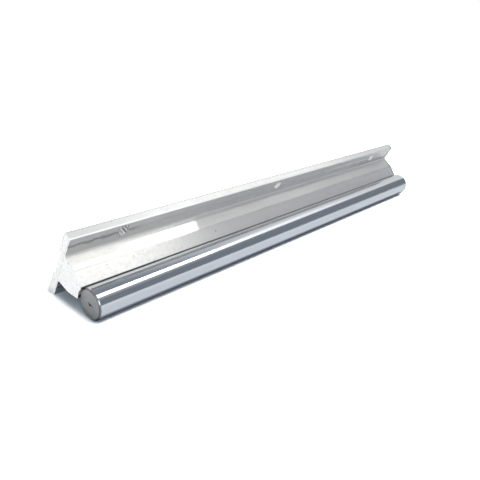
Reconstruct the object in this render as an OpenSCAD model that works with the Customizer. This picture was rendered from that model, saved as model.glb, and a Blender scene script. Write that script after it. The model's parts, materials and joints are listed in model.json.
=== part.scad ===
/* [Support rail] */
// Length of the support rail
rail_l = 300; // [150:10:600]
// Width of the flanged base
base_w = 40; // [36:0.5:60]
// Thickness of each flange
flange_t = 5; // [3:0.25:7]
// Radius on the free edges of the flanges
edge_r = 0.8; // [0.2:0.1:1.2]
// Width of the pedestal where it leaves the flanges
root_w = 17; // [15.5:0.25:19]
// Width of the pedestal at its shoulders
shoulder_w = 14.5; // [12.5:0.25:15]
// Height of the shoulders over the foot pads
shoulder_h = 13.5; // [11:0.25:15.5]
// Width across the top of the pedestal
saddle_w = 7.5; // [6.8:0.1:9]
// How far the pedestal's top stands above the shaft's lowest line
saddle_lip = 0.5; // [0.3:0.1:0.9]
// Radius in the corner between flange and pedestal
root_r = 1.2; // [0.5:0.1:2]
// Radius along the shoulders
shoulder_r = 3; // [1:0.5:6]

/* [Foot relief] */
// Width of the relief between the two foot pads
relief_w = 16; // [12:0.5:20]
// Depth of the relief
relief_d = 1.2; // [0.5:0.1:2]

/* [Shaft] */
// Diameter of the shaft
shaft_d = 16; // [14:0.5:20]
// Height of the shaft's centre line over the foot pads
centre_h = 28; // [25:0.5:34]
// How far each end of the shaft stops short of the support rail
shaft_inset = 1; // [0:0.25:6]
// Chamfer on the ends of the shaft
shaft_chamfer = 0.8; // [0.3:0.1:2]
// Diameter of the centre drilling in each end
centre_drill_d = 1.5; // [1:0.25:4]
// Clearance between the shaft and its saddle
seat_gap = 0.05; // [0.02:0.01:0.2]

/* [Mounting holes] */
// Number of holes in each flange
hole_n = 3; // [1:1:6]
// Distance from each end of the rail to the first hole
hole_end = 30; // [15:5:60]
// Distance between the two rows of holes
hole_row_w = 30; // [27:0.5:32]
// Diameter of the holes, clear for an M5 screw
hole_d = 5.5; // [4.3:0.1:6.6]
// Width of the drill line along each flange
line_w = 0.9; // [0.4:0.1:1.6]
// Depth of the drill line
line_d = 0.4; // [0.2:0.1:0.8]

/* [Shaft screws] */
// Thread diameter of the screws that hold the shaft
screw_d = 5; // [4:0.5:6]
// Length of a screw under its head
screw_l = 20; // [17:0.5:22]
// Diameter of a screw's head
head_d = 8.5; // [7.5:0.25:9]
// Height of a screw's head
head_h = 5; // [3:0.25:6]
// Width of the hexagon socket across its flats
socket_af = 4; // [2.5:0.5:5]
// Depth of the hexagon socket
socket_d = 2.5; // [1.5:0.25:3]
// Thickness of the web that a screw clamps, under the saddle
clamp_t = 11; // [9:0.5:13]
// Diameter of the pocket that takes a screw's head
pocket_d = 9.5; // [9.25:0.25:10.5]
// Clearance round a screw's thread in the pedestal
screw_gap = 0.25; // [0.1:0.05:0.5]
// Clearance round a screw's thread in the shaft
thread_gap = 0.05; // [0.02:0.01:0.1]
// Thread left free past the tip of a screw
thread_spare = 2; // [1:0.25:3]

/* [Hidden] */
$fn = 96;
eps = 0.01;

shaft_r = shaft_d / 2;
shaft_l = rail_l - 2 * shaft_inset;
saddle_h = centre_h - shaft_r + saddle_lip;
seat_h = centre_h - shaft_r - seat_gap;   // lowest line of the saddle
head_seat_h = seat_h - clamp_t;           // where the screw heads bear
screw_n = 3;                              // one node for each

// Holes and screws stand at equal steps along the rail
function station(i, n) = n == 1 ? 0
    : -rail_l / 2 + hole_end + i * (rail_l - 2 * hole_end) / (n - 1);

// The rail lies on its side, on the shaft and on the edge of one flange
lean_a = base_w / 2 - edge_r;
lean_b = centre_h - flange_t + edge_r;
lean = acos((shaft_r - edge_r) / norm([lean_a, lean_b])) - atan2(lean_b, lean_a);
lie_z = centre_h * sin(lean) + shaft_r;
front_y = centre_h * cos(lean) + shaft_r;
back_y = lean_a * sin(lean) - edge_r * cos(lean) + edge_r;

// Turns a piece from its upright place (length X, width Y, height Z) to lie on its side
module lie_down() {
    translate([0, (front_y - back_y) / 2, lie_z]) rotate([90 + lean, 0, 0]) children();
}

// Draws a shape and its mirror image across the middle of the profile
module both_sides() {
    children();
    mirror([1, 0]) children();
}

// Point at distance d from p towards q
function towards(p, q, d) = p + d * (q - p) / norm(q - p);

// Angle at corner b between a and c
function corner_angle(a, b, c) =
    acos(((a - b) * (c - b)) / (norm(a - b) * norm(c - b)));

// Distance from a corner to where a round of radius r leaves its sides
function reach(a, b, c, r) = r / tan(corner_angle(a, b, c) / 2);

// Centre of a round of radius r that touches both sides of corner b
function round_centre(a, b, c, r) =
    let (p = towards(b, a, reach(a, b, c, r)), q = towards(b, c, reach(a, b, c, r)))
    towards(b, (p + q) / 2, r / sin(corner_angle(a, b, c) / 2));

// What lies between corner b and a round of radius r
module corner_piece(a, b, c, r) {
    d = reach(a, b, c, r);
    centre = round_centre(a, b, c, r);
    difference() {
        polygon([b, towards(b, a, d), centre, towards(b, c, d)]);
        translate(centre) circle(r);
    }
}

flank_root = [root_w / 2, flange_t];
flank_shoulder = [shoulder_w / 2, shoulder_h];
flank_top = [saddle_w / 2, saddle_h];
flange_tip = [base_w / 2, flange_t];

// Flanged base with rounded edges
module base_profile() {
    translate([-base_w / 2, edge_r]) square([base_w, flange_t - 2 * edge_r]);
    translate([-base_w / 2 + edge_r, 0]) square([base_w - 2 * edge_r, flange_t]);
    both_sides()
        for (h = [edge_r, flange_t - edge_r])
            translate([base_w / 2 - edge_r, h]) circle(edge_r, $fn = 48);
}

// Pedestal: steep lower flanks, shoulders, then flanks that close in on the shaft
module pedestal_profile() {
    difference() {
        polygon([
            [-root_w / 2, flange_t - eps], flank_root - [0, eps], flank_root,
            flank_shoulder, flank_top,
            [-saddle_w / 2, saddle_h], [-shoulder_w / 2, shoulder_h], [-root_w / 2, flange_t]
        ]);
        both_sides() corner_piece(flank_root, flank_shoulder, flank_top, shoulder_r);
    }
    both_sides() corner_piece(flange_tip, flank_root, flank_shoulder, root_r);
}

// V-shaped line that the mounting holes are drilled on
module drill_line() {
    translate([hole_row_w / 2, flange_t])
        polygon([[-line_w / 2, eps], [0, -line_d], [line_w / 2, eps]]);
}

// Relief between the foot pads, with sloping sides
module foot_relief() {
    polygon([
        [-relief_w / 2 - eps, -eps], [relief_w / 2 + eps, -eps],
        [relief_w / 2 - relief_d / 2, relief_d], [-relief_w / 2 + relief_d / 2, relief_d]
    ]);
}

// Extruded section: X is the width, Y the height over the foot pads
module rail_profile() {
    difference() {
        union() {
            base_profile();
            pedestal_profile();
        }
        translate([0, centre_h]) circle(shaft_r + seat_gap, $fn = 128);
        both_sides() drill_line();
        foot_relief();
    }
}

// Through holes of the two flanges
module mounting_holes() {
    for (i = [0 : hole_n - 1], side = [-1, 1])
        translate([station(i, hole_n), side * hole_row_w / 2, -eps])
            cylinder(d = hole_d, h = flange_t + 2 * eps);
}

// Pocket for a screw's head and clear hole for its thread
module screw_passage() {
    translate([0, 0, -eps]) cylinder(d = pocket_d, h = head_seat_h + eps);
    cylinder(d = screw_d + 2 * screw_gap, h = centre_h);
}

// Aluminium support rail
module support_rail() {
    color("gainsboro") lie_down() difference() {
        rotate([90, 0, 90]) translate([0, 0, -rail_l / 2])
            linear_extrude(height = rail_l) rail_profile();
        mounting_holes();
        for (i = [0 : screw_n - 1]) translate([station(i, screw_n), 0, 0]) screw_passage();
    }
}

// Ground shaft with chamfered ends, centre drillings and blind threads for its screws
module shaft() {
    thread_top = head_seat_h + screw_l + thread_spare;
    color("silver") lie_down() difference() {
        translate([0, 0, centre_h]) rotate([0, 90, 0]) rotate_extrude($fn = 128)
            difference() {
                polygon([
                    [0, -shaft_l / 2], [shaft_r - shaft_chamfer, -shaft_l / 2],
                    [shaft_r, -shaft_l / 2 + shaft_chamfer],
                    [shaft_r, shaft_l / 2 - shaft_chamfer],
                    [shaft_r - shaft_chamfer, shaft_l / 2], [0, shaft_l / 2]
                ]);
                for (end = [-1, 1])
                    polygon([
                        [-eps, end * (shaft_l / 2 + eps)],
                        [centre_drill_d / 2, end * (shaft_l / 2 + eps)],
                        [-eps, end * (shaft_l / 2 - centre_drill_d)]
                    ]);
            }
        for (i = [0 : screw_n - 1])
            translate([station(i, screw_n), 0, head_seat_h])
                cylinder(d = screw_d + 2 * thread_gap, h = thread_top - head_seat_h);
    }
}

// Socket head screw standing on its head, with the head's bearing face at z = 0
module cap_screw() {
    head_round = 0.08 * head_d;
    tip_chamfer = 0.12 * screw_d;
    difference() {
        rotate_extrude() polygon([
            [0, -head_h], [head_d / 2 - head_round, -head_h],
            [head_d / 2, -head_h + head_round], [head_d / 2, 0], [screw_d / 2, 0],
            [screw_d / 2, screw_l - tip_chamfer], [screw_d / 2 - tip_chamfer, screw_l],
            [0, screw_l]
        ]);
        translate([0, 0, -head_h - eps])
            cylinder(d = socket_af / cos(30), h = socket_d + eps, $fn = 6);
    }
}

module placed_screw(i) {
    color("dimgray") lie_down()
        translate([station(i, screw_n), 0, head_seat_h]) cap_screw();
}

module screw_1() { placed_screw(0); }
module screw_2() { placed_screw(1); }
module screw_3() { placed_screw(2); }

support_rail();
shaft();
screw_1();
screw_2();
screw_3();
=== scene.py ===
import json
import math

import bmesh
import bpy
from mathutils import Matrix, Quaternion, Vector


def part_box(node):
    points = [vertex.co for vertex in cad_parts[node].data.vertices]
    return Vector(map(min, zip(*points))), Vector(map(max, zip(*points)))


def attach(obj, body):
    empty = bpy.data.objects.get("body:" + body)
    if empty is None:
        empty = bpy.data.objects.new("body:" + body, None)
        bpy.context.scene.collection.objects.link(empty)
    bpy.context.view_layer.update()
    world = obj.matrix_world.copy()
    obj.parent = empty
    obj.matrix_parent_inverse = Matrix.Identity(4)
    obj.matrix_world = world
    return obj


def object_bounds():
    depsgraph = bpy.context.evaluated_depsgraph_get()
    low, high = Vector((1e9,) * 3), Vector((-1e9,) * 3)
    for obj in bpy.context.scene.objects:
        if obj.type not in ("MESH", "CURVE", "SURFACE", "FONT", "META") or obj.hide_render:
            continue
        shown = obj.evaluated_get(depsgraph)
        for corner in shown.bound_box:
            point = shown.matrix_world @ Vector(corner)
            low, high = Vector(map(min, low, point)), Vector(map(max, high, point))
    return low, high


# Finishes, small parts and studio for the supported round rail: an aluminium
# extrusion with drilled foot flanges that carries a ground steel shaft, lying on its side.

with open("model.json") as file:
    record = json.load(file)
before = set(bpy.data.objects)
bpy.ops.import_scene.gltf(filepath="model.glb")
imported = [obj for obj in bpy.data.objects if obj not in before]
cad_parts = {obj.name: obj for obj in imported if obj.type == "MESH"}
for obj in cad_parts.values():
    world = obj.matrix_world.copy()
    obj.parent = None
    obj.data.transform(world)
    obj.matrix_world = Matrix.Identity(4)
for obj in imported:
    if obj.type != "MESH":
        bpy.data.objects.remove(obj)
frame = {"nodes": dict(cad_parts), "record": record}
cad_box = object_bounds()

MM = 0.001
nodes = frame["nodes"]
SCREWS = [name for name in sorted(nodes) if name.startswith("screw_")]

# ---------------------------------------------------------------- places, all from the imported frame


def middle(node):
    low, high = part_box(node)
    return (low + high) / 2


rail_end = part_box("support_rail")[1].x
shaft_low, shaft_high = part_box("shaft")
shaft_end = shaft_high.x
shaft_axis = middle("shaft")
shaft_radius = (shaft_high.z - shaft_low.z) / 2

bores = [m for m in frame["record"]["mounts"] if m["kind"] == "bore"]
flange_holes = [Vector(m["pos_m"]) for m in bores]
hole_radius = bores[0]["dims"]["r_mm"] * MM
flange_thickness = bores[0]["dims"]["length_mm"] * MM
rail_up = Vector(bores[0]["axis"]).normalized()            # from the foot pads towards the shaft
rail_side = rail_up.cross(Vector((1, 0, 0))).normalized()  # across the base, to its upper edge
flange_middle = sum(flange_holes, Vector()) / len(flange_holes)
foot_middle = flange_middle - rail_up * flange_thickness / 2
hole_row = abs((flange_holes[0] - foot_middle).dot(rail_side))
hole_places = sorted({round(hole.x, 6) for hole in flange_holes})
hole_pitch = hole_places[1] - hole_places[0]
rail_points = [v.co - foot_middle for v in nodes["support_rail"].data.vertices]
foot_reach = max(point.dot(rail_side) for point in rail_points)
saddle_height = max(point.dot(rail_up) for point in rail_points)

# ---------------------------------------------------------------- sizes of marks and finishes

SKIN = 0.02 * MM          # how deep a cut end or a bore wall is told from the skin beside it
DRILL_LINE = 0.45 * MM    # half the width of the V line in each flange
EDGE_ROUND = 0.8 * MM     # rounding on the flange edges
RELIEF_TOP = 1.4 * MM     # just over the relief between the foot pads
SHOULDER = 13.0 * MM      # height of the pedestal's lower flanks over the foot pads
FLANK_LEAN = 0.05         # how much those flanks lean away from flat, rise over run
EDGE_LINE_INSET = 0.7 * MM            # how far inside the flanges' edges the grey line on the sawn ends runs
SKIN_RELIEF_MM = 0.001    # height of the streaks in the aluminium's skin
SHAFT_RELIEF_MM = 0.003   # height of the turned grain on the shaft's ends
OXIDE_RELIEF_MM = 0.01    # height of the worn patches on the screws
END_CHAMFER = 0.8 * MM    # chamfer on the shaft's ends
CENTRE_DRILL = 0.8 * MM   # radius of the centre drilling in the shaft's ends
RING_PITCH = 0.5 * MM     # step of the turned rings on the shaft's ends
STROKE_MIDDLE = (0, -0.67 * MM, 0.30 * MM)  # dark stroke on one end, from the shaft's axis
STROKE_WAY = (0, -0.959, -0.284)
STROKE_LENGTH = 4.1 * MM

# ---------------------------------------------------------------- building node trees


class Tree:
    """A node tree under construction: add() makes a node, sets its inputs and links what is linked."""

    def __init__(self, tree):
        self.tree = tree

    def add(self, kind, inputs=None, **settings):
        node = self.tree.nodes.new(kind)
        for key, value in settings.items():
            setattr(node, key, value)
        for key, value in (inputs or {}).items():
            self.put(node.inputs[key], value)
        return node

    def put(self, socket, value):
        if isinstance(value, bpy.types.NodeSocket):
            self.tree.links.new(value, socket)
        elif socket.type == "RGBA":
            socket.default_value = (*value, 1.0)
        else:
            socket.default_value = value

    def math(self, operation, a, b=0.0, c=0.0, clamp=False):
        node = self.add("ShaderNodeMath", {0: a, 1: b, 2: c}, operation=operation, use_clamp=clamp)
        return node.outputs[0]

    def times(self, first, *others):
        product = first
        for other in others:
            product = self.math("MULTIPLY", product, other)
        return product

    def vector(self, operation, a, b=(0, 0, 0)):
        node = self.add("ShaderNodeVectorMath", {0: a, 1: b}, operation=operation)
        return node.outputs["Value" if operation in {"LENGTH", "DOT_PRODUCT"} else "Vector"]

    def split(self, vector):
        return self.add("ShaderNodeSeparateXYZ", {"Vector": vector}).outputs

    def fade(self, value, start, end, at_start=0.0, at_end=1.0):
        """Smooth step from at_start, where value is start, to at_end, where it is end."""
        node = self.add(
            "ShaderNodeMapRange",
            {"Value": value, "From Min": start, "From Max": end, "To Min": at_start, "To Max": at_end},
            interpolation_type="SMOOTHSTEP",
        )
        return node.outputs["Result"]

    def mix(self, share, a, b):
        return self.add("ShaderNodeMix", {0: share, 6: a, 7: b}, data_type="RGBA").outputs[2]

    def mix_value(self, share, a, b):
        return self.add("ShaderNodeMix", {0: share, 2: a, 3: b}, data_type="FLOAT").outputs[0]

    def noise(self, place, scale, detail=3.0, roughness=0.5):
        node = self.add(
            "ShaderNodeTexNoise",
            {"Vector": place, "Scale": scale, "Detail": detail, "Roughness": roughness},
        )
        return node.outputs["Fac"]

    def surface(self, shader):
        output = self.add("ShaderNodeOutputMaterial")
        self.put(output.inputs["Surface"], shader)


def new_material(name):
    material = bpy.data.materials.new(name)
    material.use_nodes = True
    material.node_tree.nodes.clear()
    return material, Tree(material.node_tree)


def object_place(tree):
    return tree.add("ShaderNodeTexCoord").outputs["Object"]


def stretched(tree, place, x, y, z):
    return tree.vector("MULTIPLY", place, (x, y, z))


def face_normal(tree):
    return tree.add("ShaderNodeNewGeometry").outputs["True Normal"]


def bumped(tree, relief, relief_mm, flat=False):
    """Normals lifted by a relief of that many millimetres. Flat ones start from the bare face."""
    lifted = tree.add("ShaderNodeBump", {"Height": relief, "Strength": 1.0, "Distance": relief_mm * MM})
    if flat:
        tree.put(lifted.inputs["Normal"], face_normal(tree))
    return lifted.outputs["Normal"]


def metal(tree, colour, roughness, normal, metallic=1.0, brushed=0.0, across=None, coat=0.0):
    """Principled metal. Brushed spreads its highlights along the vector given as across."""
    shader = tree.add(
        "ShaderNodeBsdfPrincipled",
        {
            "Base Color": colour,
            "Roughness": roughness,
            "Metallic": metallic,
            "Normal": normal,
            "Anisotropic": brushed,
            "Coat Weight": coat,
            "Coat IOR": 2.0,
            "Coat Roughness": 0.03,
            "Coat Normal": normal,
        },
    )
    if across is not None:
        tree.put(shader.inputs["Tangent"], across)
    tree.surface(shader.outputs["BSDF"])


def beyond_end(tree, x, end):
    """1 on the faces past that end of a bar that lies along X, at both its ends."""
    return tree.math("GREATER_THAN", tree.math("ABSOLUTE", x), end - SKIN)


# ---------------------------------------------------------------- aluminium of the support rail

# Places along X are in metres from the rail's middle. The near end lies at negative X.

PALE_CUT_AND_HIGHLIGHT = (1.0, 1.0, 0.99)   # freshly cut aluminium on the sawn ends, and the colour of painted highlights and painted light elsewhere
SHADED_SKIN = (0.50, 0.50, 0.49)  # painted shade on the aluminium skin


def to_bores(tree, place):
    """Distance to the axis of the nearest flange hole."""
    nearest = None
    for hole in flange_holes:
        from_hole = tree.vector("SUBTRACT", place, tuple(hole))
        off_axis = tree.vector("LENGTH", tree.vector("CROSS_PRODUCT", from_hole, tuple(rail_up)))
        nearest = off_axis if nearest is None else tree.math("MINIMUM", nearest, off_axis)
    return nearest


class OnRail:
    """Where a point lies on the extrusion, and the patterns that several of its finishes share."""

    def __init__(self, tree):
        self.place = object_place(tree)
        self.x = tree.split(self.place)["X"]
        from_foot = tree.vector("SUBTRACT", self.place, tuple(foot_middle))
        self.height = tree.vector("DOT_PRODUCT", from_foot, tuple(rail_up))
        self.sideways = tree.vector("DOT_PRODUCT", from_foot, tuple(rail_side))
        self.side = tree.math("ABSOLUTE", self.sideways)
        self.off_bore = to_bores(tree, self.place)
        self.on_flange = tree.math("LESS_THAN", self.height, flange_thickness + SKIN)
        self.upper_face = tree.math("GREATER_THAN", self.height, flange_thickness - DRILL_LINE)
        self.edge_face = tree.fade(self.side, foot_reach - EDGE_ROUND, foot_reach - 0.5 * EDGE_ROUND)

        along = stretched(tree, self.place, 3, 700, 700)
        self.streaks = tree.noise(along, 1.0, detail=4.0, roughness=0.6)
        cloud_place = stretched(tree, self.place, 0.6, 1, 1)
        self.clouds = tree.noise(cloud_place, 160.0, detail=5.0, roughness=0.65)
        self.waver = tree.noise(self.place, 260.0, detail=3.0)

        # The drill's chatter repeats from hole to hole, measured in hole radii along the rail
        in_pitch = tree.math("WRAP", self.x, hole_pitch / 2, -hole_pitch / 2)
        self.across_hole = tree.math("DIVIDE", in_pitch, hole_radius)
        chatter_place = tree.add("ShaderNodeCombineXYZ", {"X": self.across_hole}).outputs[0]
        self.chatter = tree.noise(chatter_place, 3.1, detail=2.0)


def rolled_skin(tree, at):
    """The flanges' and the pedestal's skin: die streaks, clouds and stains, with painted light and
    painted shade.
    """
    skin = tree.mix(at.streaks, (0.68, 0.68, 0.665), (0.76, 0.76, 0.745))
    skin = tree.mix(tree.fade(at.clouds, 0.40, 0.70, 0.0, 0.45), skin, (0.62, 0.615, 0.60))

    # Painted highlight high on the pedestal towards the near end, and painted light a little all over at
    # the far end
    high = tree.fade(at.height, SHOULDER - 3.5 * MM, SHOULDER - 0.5 * MM, 0.0, 0.8)
    brightened = tree.times(high, tree.fade(at.x, -0.06, -0.13))
    brightened = tree.math("MAXIMUM", brightened, tree.fade(at.x, 0.02, 0.12, 0.0, 0.25))
    skin = tree.mix(brightened, skin, (0.95, 0.95, 0.93))

    # Small brownish stains, most of them towards the near end
    blots = tree.noise(stretched(tree, at.place, 0.8, 1, 1), 560.0, detail=4.0)
    stains = tree.times(tree.fade(blots, 0.42, 0.68), tree.fade(at.x, -0.06, -0.10, 0.05, 0.26))
    skin = tree.mix(stains, skin, (0.60, 0.57, 0.51))

    # Painted shade on one stretch of the pedestal's lower flanks
    stretch = tree.times(tree.fade(at.x, -0.095, -0.080), tree.fade(at.x, 0.03, -0.05))
    foot_of_flank = tree.fade(at.height, flange_thickness, flange_thickness + 2.0 * MM, 0.0, 0.5)
    top_of_flank = tree.fade(at.height, SHOULDER - 2.5 * MM, SHOULDER + 2.5 * MM, 1.0, 0.1)
    skin = tree.mix(tree.times(stretch, foot_of_flank, top_of_flank), skin, SHADED_SKIN)

    # Painted shade makes the flanges a darker grey than the pedestal, and painted cool bounce light
    # lightens the lower flange's face in the hollow by the floor
    flange_shade = tree.times(at.on_flange, tree.fade(at.x, -0.12, -0.05, 0.38, 0.30))
    skin = tree.mix(flange_shade, skin, (0.38, 0.385, 0.385))
    under = tree.times(at.upper_face, tree.fade(at.sideways, 0.0, -4.0 * MM))
    return tree.mix(under, skin, (0.88, 0.95, 1.0))


def foot_pads(tree, at, skin):
    """The pads under the flanges: worn along the rail, with scuffs and a few longer scratches."""
    on_foot = tree.math("LESS_THAN", at.height, SKIN)
    scuffs = tree.noise(stretched(tree, at.place, 30, 260, 260), 1.0, detail=6.0, roughness=0.7)
    scratches = tree.noise(stretched(tree, at.place, 9, 2600, 2600), 1.0, detail=1.0)
    worn = tree.math("MAXIMUM", tree.fade(scuffs, 0.50, 0.66), tree.fade(scratches, 0.68, 0.74))
    foot = tree.mix(worn, (0.66, 0.665, 0.66), (0.90, 0.90, 0.89))
    foot = tree.mix(tree.fade(at.clouds, 0.55, 0.72, 0.0, 0.4), foot, (0.40, 0.40, 0.39))
    return tree.mix(on_foot, skin, foot)


def flange_edges(tree, at, skin):
    """The flanges' edges: matt from the die, with painted light past the near end, a painted highlight
    on the inner round, and painted shade on the outer round and towards both ends.
    """
    inner_round = tree.fade(at.height, flange_thickness - EDGE_ROUND, flange_thickness - 0.3 * MM)
    outer_round = tree.fade(at.height, 1.5 * MM, EDGE_ROUND, 0.0, 0.5)
    # Painted light and shade: the edges lighter past the near end, a painted highlight on the inner
    # round and painted shade on the outer round
    edge = tree.mix(tree.fade(at.x, -0.10, -0.05), (0.84, 0.84, 0.83), (1.0, 0.99, 0.96))
    edge = tree.mix(inner_round, edge, PALE_CUT_AND_HIGHLIGHT)
    edge = tree.mix(outer_round, edge, (0.42, 0.42, 0.41))
    # Painted shade on the edges towards the near end and towards the far end
    near_end_shade = tree.times(tree.fade(at.x, -0.09, -0.14), tree.mix_value(inner_round, 0.62, 0.1))
    edge = tree.mix(near_end_shade, edge, SHADED_SKIN)
    edge = tree.mix(tree.fade(at.x, 0.02, 0.12, 0.0, 0.55), edge, SHADED_SKIN)
    return tree.mix(at.edge_face, skin, edge)


def dirt_and_painted_light(tree, at, skin):
    """A dark wavy band along the drill line at the near end, brown dust in specks all over, painted
    light on the V line past the near end and painted shade against the shaft.
    """
    # A dark wavy band along the drill line at the near end
    line_side = tree.fade(at.waver, 0.3, 0.7, hole_row - 1.0 * MM, hole_row + 0.5 * MM)
    off_line = tree.math("ABSOLUTE", tree.math("SUBTRACT", at.side, line_side))
    line_darkening = tree.fade(off_line, 3.0 * DRILL_LINE, 1.2 * DRILL_LINE)
    line_darkening = tree.times(line_darkening, at.upper_face, tree.fade(at.x, -0.105, -0.118, 0.0, 0.5))
    skin = tree.mix(line_darkening, skin, (0.22, 0.22, 0.215))

    # Past the near end the V line is lightened, painted light that evens out the shade of its groove
    in_line = tree.math("COMPARE", at.side, hole_row, DRILL_LINE)
    in_groove = tree.times(in_line, tree.math("LESS_THAN", at.height, flange_thickness - SKIN))
    groove_lightening = tree.times(in_groove, at.upper_face, tree.fade(at.x, -0.118, -0.105, 0.0, 0.3))
    skin = tree.mix(groove_lightening, skin, PALE_CUT_AND_HIGHLIGHT)

    specks = tree.noise(at.place, 900.0, detail=2.0, roughness=0.4)
    skin = tree.mix(tree.fade(specks, 0.725, 0.76, 0.0, 0.8), skin, (0.22, 0.19, 0.16))
    # Painted shade along the pedestal's top edge where it meets the shaft, darkest towards the near end
    saddle_shade = tree.fade(at.height, saddle_height - 0.42 * MM, saddle_height - 0.22 * MM)
    saddle_shade = tree.times(saddle_shade, tree.fade(at.x, -0.02, -0.11, 0.15, 0.9))
    return tree.mix(saddle_shade, skin, (0.06, 0.06, 0.065))


def torn_rings(tree, at, skin):
    """Skin that the drill's exit has torn and polished round each hole."""
    torn = tree.fade(at.off_bore, 1.55 * hole_radius, 1.15 * hole_radius, 0.0, 0.95)
    torn = tree.times(torn, at.upper_face, tree.fade(at.waver, 0.40, 0.50))
    torn = tree.times(torn, tree.fade(at.x, 0.02, -0.10, 0.5, 1.0))
    marks = tree.mix(tree.fade(at.chatter, 0.46, 0.54), (0.10, 0.10, 0.10), (0.85, 0.85, 0.84))
    return tree.mix(torn, skin, marks)


def far_end(tree, at, skin):
    """The far end, darker along its cut edge, with painted shade in the corner beside the pedestal."""
    cut_edge = tree.fade(at.x, rail_end - 2.0 * MM, rail_end - 0.8 * MM, 0.0, 0.8)
    skin = tree.mix(cut_edge, skin, (0.16, 0.155, 0.15))
    # Painted shade in the corner between the flange and the pedestal
    corner = tree.times(tree.fade(at.x, 0.08, 0.12, 0.0, 0.6), tree.fade(at.side, 15 * MM, 10 * MM))
    return tree.mix(tree.times(corner, at.on_flange, at.upper_face), skin, (0.20, 0.19, 0.175))


def drilled_wall(tree, at):
    """Walls of the flange holes: dark and bright chatter bands, partly drill marks and partly painted
    reflection, a painted highlight streak, and painted light past the near end.
    """
    streak = tree.math("ABSOLUTE", tree.math("ADD", at.across_hole, 0.2))
    # Chatter bands, partly drill marks and partly painted reflection, then a painted highlight streak
    # and painted light past the near end
    wall = tree.mix(tree.fade(at.chatter, 0.42, 0.58), (0.16, 0.16, 0.16), PALE_CUT_AND_HIGHLIGHT)
    wall = tree.mix(tree.fade(streak, 0.44, 0.34), wall, PALE_CUT_AND_HIGHLIGHT)
    return tree.mix(tree.fade(at.x, -0.10, -0.02, 0.0, 0.8), wall, PALE_CUT_AND_HIGHLIGHT)


def sawn_end(tree, at):
    """Colour and relief of the sawn ends: pale and matt, with blotches, saw lines and pits."""
    saw_lines = tree.noise(stretched(tree, at.place, 1, 260, 5200), 1.0, detail=2.0)
    blotches = tree.fade(tree.noise(at.place, 600.0, detail=4.0, roughness=0.6), 0.35, 0.65)
    pits = tree.fade(tree.noise(at.place, 760.0, detail=3.0), 0.63, 0.69)
    sawn = tree.mix(blotches, (0.88, 0.88, 0.88), PALE_CUT_AND_HIGHLIGHT)
    sawn = tree.mix(tree.times(pits, 0.85), sawn, (0.25, 0.25, 0.26))

    # A grey line runs round the flanges' ends, a little inside their edges
    to_tip = tree.math("SUBTRACT", foot_reach - EDGE_LINE_INSET, at.side)
    from_core = tree.math("ABSOLUTE", tree.math("SUBTRACT", at.height, flange_thickness / 2))
    to_face = tree.math("SUBTRACT", flange_thickness / 2 - EDGE_LINE_INSET, from_core)
    inset = tree.math("ABSOLUTE", tree.math("MINIMUM", to_tip, to_face))
    inset = tree.math("ADD", inset, tree.fade(at.waver, 0.40, 0.60, 0.0, 0.15 * MM))
    sawn = tree.mix(tree.fade(inset, 0.30 * MM, 0.10 * MM, 0.0, 0.6), sawn, (0.45, 0.45, 0.46))
    return sawn, tree.math("SUBTRACT", saw_lines, pits)


def extruded_aluminium():
    """Mill finish, streaked along its length by the die, with drilled holes and sawn ends."""
    material, tree = new_material("mill_finish_aluminium")
    at = OnRail(tree)
    cut = beyond_end(tree, at.x, rail_end)
    bored = tree.math("LESS_THAN", at.off_bore, hole_radius + SKIN)

    def by_face(mix, skin, wall, sawn):
        return mix(cut, mix(bored, skin, wall), sawn)

    skin = rolled_skin(tree, at)
    for finish in (foot_pads, flange_edges, dirt_and_painted_light, torn_rings, far_end):
        skin = finish(tree, at, skin)
    sawn, sawn_relief = sawn_end(tree, at)
    colour = by_face(tree.mix, skin, drilled_wall(tree, at), sawn)

    fine_lines = tree.noise(stretched(tree, at.place, 6, 4200, 4200), 1.0, detail=2.0)
    skin_rough = tree.fade(tree.mix_value(0.35, fine_lines, at.clouds), 0.35, 0.65, 0.44, 0.39)
    roughness = by_face(tree.mix_value, skin_rough, 0.28, 0.9)
    skin_metallic = tree.mix_value(at.edge_face, 0.8, 0.5)
    metallic = by_face(tree.mix_value, skin_metallic, 0.2, 0.0)

    # The lower flanks lean a little, so that the lamp's reflection in them ends square
    up_flank = tree.math("SUBTRACT", tree.math("MINIMUM", at.height, SHOULDER), flange_thickness)
    up_flank = tree.math("MAXIMUM", up_flank, 0.0)
    relief = tree.math("MULTIPLY_ADD", fine_lines, 0.2, at.streaks)
    relief = tree.math("MULTIPLY_ADD", up_flank, -FLANK_LEAN / (SKIN_RELIEF_MM * MM), relief)
    wall_relief = tree.times(at.chatter, 500.0)
    relief = by_face(tree.mix_value, relief, wall_relief, tree.times(sawn_relief, 4.0))
    normal = bumped(tree, relief, SKIN_RELIEF_MM, flat=True)

    # A thin gloss lies over the skin, except on the foot side, and it wears off at the near end
    gloss = tree.fade(at.clouds, 0.38, 0.60, 1.0, 0.6)
    gloss = tree.times(gloss, tree.fade(at.x, -0.085, -0.13, 1.0, 0.06))
    above_relief = tree.math("GREATER_THAN", at.height, RELIEF_TOP)
    gloss = tree.times(by_face(tree.mix_value, gloss, 1.0, 0.0), above_relief)

    # Highlights spread across the streaks. The small constant gives the sawn ends a direction too
    across = tree.vector("CROSS_PRODUCT", face_normal(tree), (1, 0, 0))
    across = tree.vector("ADD", across, (0, 0.004, 0.01))
    metal(tree, colour, roughness, normal, metallic, brushed=1.0, across=across, coat=gloss)
    return material


# ---------------------------------------------------------------- steel of the shaft and the screws


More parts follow.
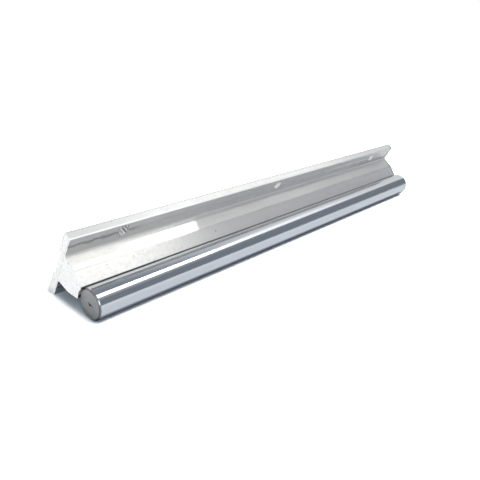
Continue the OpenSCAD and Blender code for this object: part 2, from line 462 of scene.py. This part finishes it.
class OnShaft:
    """Where a point lies on the shaft, and the patterns that its finishes share."""

    def __init__(self, tree):
        self.place = object_place(tree)
        self.x = tree.split(self.place)["X"]
        from_axis = tree.vector("SUBTRACT", self.place, (0, shaft_axis.y, shaft_axis.z))
        self.from_axis = tree.vector("MULTIPLY", from_axis, (0, 1, 1))
        self.radius = tree.vector("LENGTH", self.from_axis)
        self.rings = tree.math("SINE", tree.times(self.radius, math.tau / RING_PITCH))
        self.grain = tree.noise(self.place, 1500.0, detail=4.0)
        around = stretched(tree, self.place, 120, 500, 500)
        self.bands = tree.noise(around, 1.0, detail=4.0, roughness=0.6)


def chromed_wall(tree, at):
    """Chrome with a painted dark reflection on the side towards the saddle, painted shade where it meets
    the saddle, and dull chamfers.
    """
    chrome = tree.mix(at.bands, (0.55, 0.575, 0.61), (0.62, 0.64, 0.67))
    to_saddle = tree.vector("DOT_PRODUCT", at.from_axis, tuple(-rail_up / shaft_radius))
    # Painted dark reflection on the side of the shaft that faces the pedestal, strongest towards the
    # near end
    dark_reflection = tree.times(tree.fade(to_saddle, 0.53, 0.70), tree.fade(at.x, -0.06, -0.12, 0.3, 0.95))
    chrome = tree.mix(dark_reflection, chrome, (0.15, 0.175, 0.22))
    # Painted shade along the line where the shaft meets the saddle
    contact_shade = tree.times(tree.fade(to_saddle, 0.84, 0.87), tree.fade(at.x, 0.08, -0.08, 0.12, 0.9))
    chrome = tree.mix(contact_shade, chrome, (0.05, 0.05, 0.055))
    on_chamfer = beyond_end(tree, at.x, shaft_end - END_CHAMFER)
    return tree.mix(on_chamfer, chrome, (0.24, 0.26, 0.30))


def turned_end(tree, at):
    """Faced ends: turned rings, a dark rim, painted shade in the centre drilling and a dark stroke."""
    turned = tree.mix_value(0.7, tree.fade(at.rings, -1.0, 1.0), at.grain)
    faced = tree.mix(turned, (0.28, 0.285, 0.285), (0.49, 0.495, 0.49))
    flat_radius = shaft_radius - END_CHAMFER
    rim = tree.fade(at.radius, flat_radius - 0.2 * MM, flat_radius, 0.0, 0.75)
    faced = tree.mix(rim, faced, (0.10, 0.105, 0.11))

    from_stroke = tree.vector("SUBTRACT", at.from_axis, STROKE_MIDDLE)
    along = tree.math("ABSOLUTE", tree.vector("DOT_PRODUCT", from_stroke, STROKE_WAY))
    off = tree.vector("LENGTH", tree.vector("CROSS_PRODUCT", from_stroke, STROKE_WAY))
    stroke = tree.fade(along, STROKE_LENGTH / 2, STROKE_LENGTH / 2 - 0.4 * MM)
    stroke = tree.times(stroke, tree.fade(off, 0.45 * MM, 0.15 * MM))
    stroke = tree.times(stroke, tree.math("LESS_THAN", at.x, 0.0))
    # Painted shade in the centre drilling, and the dark stroke
    mark = tree.math("MAXIMUM", stroke, tree.math("LESS_THAN", at.radius, CENTRE_DRILL))
    return tree.mix(tree.times(mark, 0.9), faced, (0.05, 0.05, 0.055))


def ground_shaft():
    """Hard-chromed and ground: mirror bright, with fine grinding rings and matt turned ends."""
    material, tree = new_material("ground_chromed_steel")
    at = OnShaft(tree)
    faced = beyond_end(tree, at.x, shaft_end - 0.6 * END_CHAMFER)
    colour = tree.mix(faced, chromed_wall(tree, at), turned_end(tree, at))
    roughness = tree.mix_value(faced, tree.math("MULTIPLY_ADD", at.bands, 0.08, 0.10), 0.55)

    grinding = tree.noise(stretched(tree, at.place, 5000, 60, 60), 1.0, detail=2.0)
    turned_relief = tree.math("MULTIPLY_ADD", at.rings, 0.25, at.grain)
    relief = tree.mix_value(faced, tree.times(grinding, 0.1), turned_relief)
    normal = bumped(tree, relief, SHAFT_RELIEF_MM)
    lengthwise = tree.add("ShaderNodeCombineXYZ", {"X": 1.0, "Y": 0.01, "Z": 0.004}).outputs["Vector"]
    metal(tree, colour, roughness, normal, brushed=0.8, across=lengthwise)
    return material


def black_oxide():
    """Blackened screw steel, worn a little bright in patches."""
    material, tree = new_material("black_oxide_steel")
    brightened = tree.fade(tree.noise(object_place(tree), 700.0, detail=4.0), 0.5, 0.75)
    colour = tree.mix(brightened, (0.028, 0.029, 0.032), (0.12, 0.12, 0.125))
    roughness = tree.mix_value(brightened, 0.48, 0.32)
    metal(tree, colour, roughness, bumped(tree, brightened, OXIDE_RELIEF_MM), metallic=0.8)
    return material


def dress(node, material):
    for slot in nodes[node].material_slots:
        slot.material = material


aluminium = extruded_aluminium()
dress("support_rail", aluminium)
dress("shaft", ground_shaft())
screw_steel = black_oxide()
for screw in SCREWS:
    dress(screw, screw_steel)

# ---------------------------------------------------------------- grown detail: knurled heads, burrs

HEAD_RADIUS = 4.25 * MM  # of a screw's head
HEAD_RIM = 0.75 * MM     # height left plain at the head's rounded rim
KNURL = {
    "Radius": HEAD_RADIUS,
    "Rib width": 0.36 * MM,
    "Rib depth": 0.24 * MM,
    "Rib length": 3.7 * MM,
    "Count": 36,
}
BURR = {
    "Step": 0.4 * MM,
    "Thinnest": 0.03 * MM,
    "Thickest": 0.20 * MM,
    "Wander": 0.35 * MM,
    "Scale": 700.0,
    "Seed": 3.0,
}


def node_group(name, floats, counts=()):
    """A geometry group with named inputs. Returns its tree, its inputs and their identifiers."""
    group = bpy.data.node_groups.new(name, "GeometryNodeTree")
    new_socket = group.interface.new_socket
    new_socket("Geometry", in_out="INPUT", socket_type="NodeSocketGeometry")
    named = {n: new_socket(n, in_out="INPUT", socket_type="NodeSocketFloat") for n in floats}
    named.update({n: new_socket(n, in_out="INPUT", socket_type="NodeSocketInt") for n in counts})
    new_socket("Geometry", in_out="OUTPUT", socket_type="NodeSocketGeometry")
    build = Tree(group)
    given = build.add("NodeGroupInput").outputs
    return build, given, {n: socket.identifier for n, socket in named.items()}


def end_group(build, geometry, material):
    """Realize what was grown, dress it and hand it to the group's output."""
    real = build.add("GeometryNodeRealizeInstances", {"Geometry": geometry})
    dressed = build.add(
        "GeometryNodeSetMaterial", {"Geometry": real.outputs["Geometry"], "Material": material}
    )
    build.add("NodeGroupOutput", {"Geometry": dressed.outputs["Geometry"]})


def grown(name, seed_mesh, build, identifiers, sizes, place=Matrix()):
    """The geometry that a group makes from a mesh, as a piece of the object."""
    holder = bpy.data.objects.new("holder", seed_mesh)
    bpy.context.scene.collection.objects.link(holder)
    grow = holder.modifiers.new("grow", "NODES")
    grow.node_group = build.tree
    for size, value in sizes.items():
        grow[identifiers[size]] = value
    graph = bpy.context.evaluated_depsgraph_get()
    mesh = bpy.data.meshes.new_from_object(holder.evaluated_get(graph))
    holder.modifiers.remove(grow)
    bpy.data.objects.remove(holder)
    mesh.transform(place)
    piece = bpy.data.objects.new(name, mesh)
    bpy.context.scene.collection.objects.link(piece)
    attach(piece, "root")


def head_middle(screw):
    """Point on the screw's axis at half the height of its head's straight wall."""
    centre = middle(screw)
    along = [(v.co - centre).dot(rail_up) for v in nodes[screw].data.vertices]
    head_foot = centre + rail_up * min(along)
    return head_foot + rail_up * (HEAD_RIM + KNURL["Rib length"] / 2)


def knurls(material):
    """Straight ribs round each screw's head, between its rounded rim and its bearing face."""
    build, given, identifiers = node_group(
        "knurl", ("Radius", "Rib width", "Rib depth", "Rib length"), ("Count",)
    )
    circle = build.add("GeometryNodeMeshCircle", {"Vertices": given["Count"], "Radius": given["Radius"]})
    outward = build.add(
        "FunctionNodeAlignRotationToVector",
        {"Vector": build.add("GeometryNodeInputPosition").outputs[0]},
        axis="X",
    )
    rib_size = build.add(
        "ShaderNodeCombineXYZ",
        {"X": given["Rib depth"], "Y": given["Rib width"], "Z": given["Rib length"]},
    )
    rib = build.add("GeometryNodeMeshCube", {"Size": rib_size.outputs[0]})
    ribs = build.add(
        "GeometryNodeInstanceOnPoints",
        {
            "Points": circle.outputs["Mesh"],
            "Instance": rib.outputs["Mesh"],
            "Rotation": outward.outputs["Rotation"],
        },
    )
    end_group(build, ribs.outputs["Instances"], material)

    upright = Vector((0, 0, 1)).rotation_difference(rail_up).to_matrix().to_4x4()
    for screw in SCREWS:
        place = Matrix.Translation(head_middle(screw)) @ upright
        empty = bpy.data.meshes.new("empty")
        grown(screw + "_knurl", empty, build, identifiers, KNURL, place)


def end_outline(end):
    """The sawn outline of one end of the rail, as a mesh of edges."""
    shape = bmesh.new()
    shape.from_mesh(nodes["support_rail"].data)
    bmesh.ops.remove_doubles(shape, verts=shape.verts, dist=0.001 * MM)
    flat = {f for f in shape.faces if all(abs(v.co.x - end * rail_end) < SKIN for v in f.verts)}
    rim = {e for f in flat for e in f.edges if any(g not in flat for g in e.link_faces)}
    bmesh.ops.delete(shape, geom=list(shape.faces), context="FACES_ONLY")
    bmesh.ops.delete(shape, geom=[e for e in shape.edges if e not in rim], context="EDGES")
    outline = bpy.data.meshes.new("outline")
    shape.to_mesh(outline)
    shape.free()
    return outline


def burrs(material):
    """The rolled burr that the saw leaves round both ends of the rail."""
    build, given, identifiers = node_group(
        "burr", ("Step", "Thinnest", "Thickest", "Wander", "Scale", "Seed")
    )
    outline = build.add("GeometryNodeMeshToCurve", {"Mesh": given["Geometry"]})
    evenly = build.add(
        "GeometryNodeResampleCurve",
        {"Curve": outline.outputs["Curve"], "Length": given["Step"]},
        mode="LENGTH",
    )
    position = build.add("GeometryNodeInputPosition").outputs[0]
    ragged = build.add(
        "ShaderNodeTexNoise",
        {"Vector": position, "W": given["Seed"], "Scale": given["Scale"], "Detail": 3.0},
        noise_dimensions="4D",
    )
    centred = build.vector("SUBTRACT", ragged.outputs["Color"], (0.5, 0.5, 0.5))
    wander = build.add("ShaderNodeVectorMath", {0: centred, "Scale": given["Wander"]}, operation="SCALE")
    wandered = build.split(build.vector("ADD", position, wander.outputs["Vector"]))
    over_floor = build.math("MAXIMUM", wandered["Z"], given["Thickest"])
    place = build.add(
        "ShaderNodeCombineXYZ", {"X": wandered["X"], "Y": wandered["Y"], "Z": over_floor}
    )
    moved = build.add(
        "GeometryNodeSetPosition",
        {"Geometry": evenly.outputs["Curve"], "Position": place.outputs["Vector"]},
    )
    radius = build.fade(ragged.outputs["Fac"], 0.35, 0.65, given["Thinnest"], given["Thickest"])
    section = build.add("GeometryNodeCurvePrimitiveCircle", {"Resolution": 6, "Radius": 1.0})
    skinned = build.add(
        "GeometryNodeCurveToMesh",
        {
            "Curve": moved.outputs["Geometry"],
            "Profile Curve": section.outputs["Curve"],
            "Scale": radius,
        },
    )
    end_group(build, skinned.outputs["Mesh"], material)
    for name, end in (("burr_near_end", -1), ("burr_far_end", 1)):
        grown(name, end_outline(end), build, identifiers, BURR)


knurls(screw_steel)
burrs(aluminium)

# ---------------------------------------------------------------- studio

LAMP_HEIGHT = 0.70    # softbox and bright ceiling above the floor
LAMP_TURN = 14.0      # degrees round Z that the softbox stands off the rail's own direction
STUDIO_REACH = 24.0   # width of the floor and the ceiling
SLATE = (0.255, 0.285, 0.325)
WHITE = (1.0, 1.0, 1.0)


def sees_backdrop(tree):
    """1 for the camera and for what shows in metal or glass, else 0."""
    path = tree.add("ShaderNodeLightPath")
    shown = tree.math("ADD", path.outputs["Is Camera Ray"], path.outputs["Is Glossy Ray"])
    return tree.math("ADD", shown, path.outputs["Is Transmission Ray"], clamp=True)


def card(name, centre, facing, material):
    """A flat sheet across the studio, whose face points along facing."""
    mesh = bpy.data.meshes.new(name)
    half = STUDIO_REACH / 2
    corners = [(-half, -half, 0), (half, -half, 0), (half, half, 0), (-half, half, 0)]
    mesh.from_pydata(corners, [], [(0, 1, 2, 3)])
    turn = Vector(facing).to_track_quat("Z", "Y").to_matrix().to_4x4()
    mesh.transform(Matrix.Translation(centre) @ turn)
    mesh.materials.append(material)
    sheet = bpy.data.objects.new(name, mesh)
    bpy.context.scene.collection.objects.link(sheet)
    return sheet


def white_floor():
    """Matt white, lifted to full white away from the object, with the shadow kept close to it and a
    painted shadow that darkens it right beside the object.
    """
    material, tree = new_material("white_floor")
    back = cad_box[1].y
    shade_middle = Vector((0, (back + shaft_axis.y) / 2, 0))
    shade_half = Vector((rail_end - 4.5 * MM, (back - shaft_axis.y) / 2, 0))
    from_shade = tree.vector("SUBTRACT", object_place(tree), tuple(shade_middle))
    beyond = tree.vector("MAXIMUM", tree.vector("ABSOLUTE", from_shade), tuple(shade_half))
    away = tree.vector("LENGTH", tree.vector("SUBTRACT", beyond, tuple(shade_half)))

    to_camera = tree.add("ShaderNodeLightPath").outputs["Is Camera Ray"]
    paper = tree.mix(sees_backdrop(tree), (0.80, 0.80, 0.80), (0.90, 0.92, 0.95))
    # Painted shadow: close to the object the floor is darker, within about 10 mm in what the metal
    # reflects and bounces, and within about 6 mm to the camera
    mirrored = tree.mix(tree.fade(away, 6.5 * MM, 10.5 * MM), (0.20, 0.225, 0.255), paper)
    seen = tree.mix(tree.fade(away, 2.5 * MM, 6.5 * MM), (0.66, 0.71, 0.78), (1.34, 1.36, 1.38))
    matt = tree.add("ShaderNodeBsdfDiffuse", {"Color": tree.mix(to_camera, mirrored, seen)})
    lift = tree.times(to_camera, tree.fade(away, 3.5 * MM, 10.0 * MM, 0.0, 0.6))
    glow = tree.add("ShaderNodeEmission", {"Strength": lift})
    both = tree.add("ShaderNodeAddShader", {0: matt.outputs[0], 1: glow.outputs[0]})
    tree.surface(both.outputs[0])
    card("floor", (0, 0, 0), (0, 0, 1), material)


def slate_ceiling():
    """A dull ceiling with a bright opening beyond the softbox. It shows only in the metal."""
    material, tree = new_material("slate_ceiling")
    turn = math.radians(LAMP_TURN)
    place = object_place(tree)
    along = tree.vector("DOT_PRODUCT", place, (math.cos(turn), math.sin(turn), 0))
    across = tree.vector("DOT_PRODUCT", place, (-math.sin(turn), math.cos(turn), 0))

    # Patches of light, laid out in metres along and across the softbox
    to_back = tree.fade(across, -0.28, 0.06)
    front_opening = tree.times(tree.fade(across, -0.60, -0.42), tree.fade(along, 0.44, 0.60))
    back_opening = tree.fade(along, 0.22, 0.80, 0.03, 0.85)
    back_opening = tree.math("MAXIMUM", back_opening, tree.fade(along, 0.14, -0.06))
    opening = tree.mix_value(to_back, front_opening, back_opening)
    halo = tree.times(tree.fade(across, -1.05, -0.55), tree.fade(along, 0.70, 0.30))
    halo = tree.times(halo, tree.fade(across, -0.18, -0.32, 0.0, 0.40))
    behind = tree.fade(across, 0.9, 1.3)
    share = tree.math("MAXIMUM", tree.math("MAXIMUM", opening, behind), halo)

    # The front opening is brightest beside the softbox
    front_strength = tree.fade(along, 0.80, 1.20, 1.45, 0.92)
    strength = tree.mix_value(opening, 1.0, tree.mix_value(to_back, front_strength, 1.0))
    shade = tree.mix(share, SLATE, WHITE)
    glow = tree.add("ShaderNodeEmission", {"Color": shade, "Strength": strength})
    tree.surface(glow.outputs[0])
    ceiling = card("slate_ceiling", (0, 0, LAMP_HEIGHT + 0.02), (0, 0, -1), material)
    ceiling.visible_camera = False
    ceiling.visible_diffuse = False
    ceiling.visible_shadow = False


def white_world():
    """White where it is seen, and a dim cool light on everything else."""
    world = bpy.data.worlds.new("studio")
    world.use_nodes = True
    world.node_tree.nodes.clear()
    tree = Tree(world.node_tree)
    shade = tree.mix(sees_backdrop(tree), (0.31, 0.34, 0.38), WHITE)
    background = tree.add("ShaderNodeBackground", {"Color": shade, "Strength": 1.0})
    output = tree.add("ShaderNodeOutputWorld")
    tree.put(output.inputs["Surface"], background.outputs[0])
    bpy.context.scene.world = world


def softbox(name, along, across, height, width, depth, radiance, facing=(0, 0, -1)):
    """A lamp panel in the turned grid of the ceiling. It looks straight down unless told otherwise."""
    light = bpy.data.lights.new(name, "AREA")
    light.shape = "RECTANGLE"
    light.size = width
    light.size_y = depth
    light.energy = radiance * math.pi * width * depth
    light.color = (1.0, 0.985, 0.95)
    turn = Matrix.Rotation(math.radians(LAMP_TURN), 4, "Z")
    lean = Vector(facing).to_track_quat("-Z", "Y").to_matrix().to_4x4()
    lamp = bpy.data.objects.new(name, light)
    lamp.matrix_world = turn @ Matrix.Translation((along, across, height)) @ lean
    bpy.context.scene.collection.objects.link(lamp)


def camera():
    """Stands low in front of the near end and looks along the rail."""
    view = bpy.data.cameras.new("camera")
    view.lens = 39.6
    view.sensor_width = 36.0
    view.clip_start = 0.01
    stand = bpy.data.objects.new("camera", view)
    place = Vector((-0.2611, -0.1905, 0.1393))
    aim = Vector((-0.0626, -0.0241, 0.0200))
    level = (aim - place).to_track_quat("-Z", "Y")
    stand.location = place
    stand.rotation_mode = "QUATERNION"
    stand.rotation_quaternion = level @ Quaternion((0, 0, 1), math.radians(5.65))
    bpy.context.scene.collection.objects.link(stand)
    bpy.context.scene.camera = stand


white_floor()
slate_ceiling()
white_world()
softbox(
    "top_softbox", along=-0.043, across=-0.3475, height=LAMP_HEIGHT, width=1.014, depth=0.265,
    radiance=6.6,
)
softbox(
    "rear_fill", along=0.0, across=1.1, height=0.45, width=1.4, depth=0.5,
    radiance=1.6, facing=(0, -1, -0.35),
)
softbox(
    "end_fill", along=-1.0, across=-0.1, height=0.16, width=0.9, depth=0.26,
    radiance=4.9, facing=(1, 0.1, -0.16),
)
camera()
bpy.context.scene.view_settings.view_transform = "Standard"
